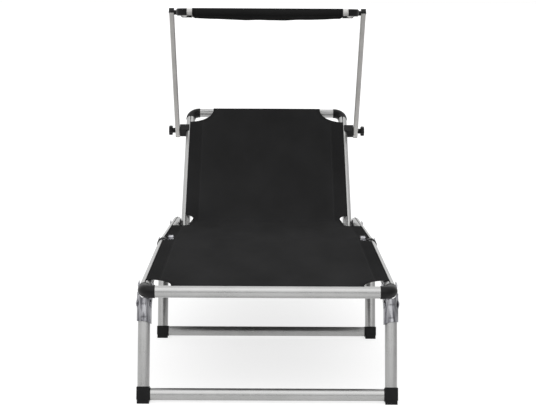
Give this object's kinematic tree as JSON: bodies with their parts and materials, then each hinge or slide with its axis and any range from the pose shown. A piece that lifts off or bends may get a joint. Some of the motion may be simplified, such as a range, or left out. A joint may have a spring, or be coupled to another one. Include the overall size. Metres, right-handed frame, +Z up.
{
  "type": "folding sun lounger with canopy",
  "caption": "Low folding sun lounger of grooved aluminium tube with black fabric slings, folding legs, a reclining backrest and a small tilting canopy.",
  "frame": {"origin": "on the floor, below the middle of the whole lounger's box", "axes": "+Z up, +Y from the foot end to the head end, +X to the right seen from the foot end"},
  "size_m": [0.624, 1.781, 0.8661],
  "materials": {
    "frame_aluminium": "satin anodised",
    "canopy_aluminium": "satin anodised",
    "chromed_steel": "bright plated",
    "black_plastic": "moulded, slightly glossy",
    "sling_fabric": "woven mesh, matt",
    "canopy_fabric": "woven cloth, matt"
  },
  "bodies": {
    "foot_section": {"foot_rail_left": "frame_aluminium", "foot_rail_right": "frame_aluminium", "foot_crossbar": "frame_aluminium", "foot_elbow_left": "black_plastic", "foot_elbow_right": "black_plastic", "fold_hinge_foot_left": "black_plastic", "fold_hinge_foot_right": "black_plastic", "foot_sling": "sling_fabric", "front_leg_bracket_left": "chromed_steel", "front_leg_bracket_right": "chromed_steel"},
    "front_leg": {"front_leg_tube_left": "frame_aluminium", "front_leg_tube_right": "frame_aluminium", "front_leg_bar": "frame_aluminium", "front_foot_left": "black_plastic", "front_foot_right": "black_plastic"},
    "mid_section": {"mid_rail_left": "frame_aluminium", "mid_rail_right": "frame_aluminium", "fold_hinge_mid_left": "black_plastic", "fold_hinge_mid_right": "black_plastic", "mid_sling": "sling_fabric", "mid_leg_bracket_left": "chromed_steel", "mid_leg_bracket_right": "chromed_steel", "rear_leg_bracket_left": "chromed_steel", "rear_leg_bracket_right": "chromed_steel", "backrest_hinge_left": "black_plastic", "backrest_hinge_right": "black_plastic"},
    "mid_leg": {"mid_leg_tube_left": "frame_aluminium", "mid_leg_tube_right": "frame_aluminium", "mid_leg_bar": "frame_aluminium", "mid_foot_left": "black_plastic", "mid_foot_right": "black_plastic"},
    "rear_leg": {"rear_leg_tube_left": "frame_aluminium", "rear_leg_tube_right": "frame_aluminium", "rear_leg_bar": "frame_aluminium", "rear_foot_left": "black_plastic", "rear_foot_right": "black_plastic"},
    "backrest": {"backrest_tube_left": "frame_aluminium", "backrest_tube_right": "frame_aluminium", "backrest_crossbar": "frame_aluminium", "backrest_elbow_left": "black_plastic", "backrest_elbow_right": "black_plastic", "backrest_sling": "sling_fabric", "canopy_clamp_left": "black_plastic", "canopy_clamp_right": "black_plastic"},
    "canopy_arms": {"canopy_arm_left": "canopy_aluminium", "canopy_arm_right": "canopy_aluminium", "canopy_arm_cap_left": "black_plastic", "canopy_arm_cap_right": "black_plastic"},
    "knob_left": {"knob_left": "black_plastic"},
    "knob_right": {"knob_right": "black_plastic"},
    "canopy": {"canopy_side_tube_left": "canopy_aluminium", "canopy_side_tube_right": "canopy_aluminium", "canopy_near_bar": "canopy_aluminium", "canopy_far_bar": "canopy_aluminium", "canopy_near_elbow_left": "black_plastic", "canopy_near_elbow_right": "black_plastic", "canopy_far_elbow_left": "black_plastic", "canopy_far_elbow_right": "black_plastic", "canopy_cloth": "canopy_fabric"}
  },
  "joints": [
    {"name": "foot_fold", "type": "hinge", "parent": "mid_section", "child": "foot_section", "pos_m": [0, -0.11608, 0.262], "axis": [1, 0, 0], "range_deg": [-135, 0]},
    {"name": "front_leg_fold", "type": "hinge", "parent": "foot_section", "child": "front_leg", "pos_m": [0, -0.83108, 0.215], "axis": [1, 0, 0], "range_deg": [0, 101]},
    {"name": "mid_leg_fold", "type": "hinge", "parent": "mid_section", "child": "mid_leg", "pos_m": [0, -0.10348, 0.2143], "axis": [1, 0, 0], "range_deg": [0, 101]},
    {"name": "rear_leg_fold", "type": "hinge", "parent": "mid_section", "child": "rear_leg", "pos_m": [0, 0.58564, 0.17939], "axis": [-1, 0, 0], "range_deg": [0, 105]},
    {"name": "backrest_recline", "type": "hinge", "parent": "mid_section", "child": "backrest", "pos_m": [0, 0.4793, 0.21482], "axis": [1, 0, 0], "range_deg": [-38, 38]},
    {"name": "canopy_arms_swing", "type": "hinge", "parent": "backrest", "child": "canopy_arms", "pos_m": [0, 0.8106, 0.47459], "axis": [1, 0, 0], "range_deg": [-60, 40]},
    {"name": "canopy_tilt", "type": "hinge", "parent": "canopy_arms", "child": "canopy", "pos_m": [0, 0.47002, 0.85151], "axis": [1, 0, 0], "range_deg": [-75, 75]},
    {"name": "knob_left_turn", "type": "hinge", "parent": "canopy_arms", "child": "knob_left", "pos_m": [-0.3, 0.8106, 0.47459], "axis": [1, 0, 0], "continuous": true},
    {"name": "knob_right_turn", "type": "hinge", "parent": "canopy_arms", "child": "knob_right", "pos_m": [0.3, 0.8106, 0.47459], "axis": [1, 0, 0], "continuous": true}
  ]
}
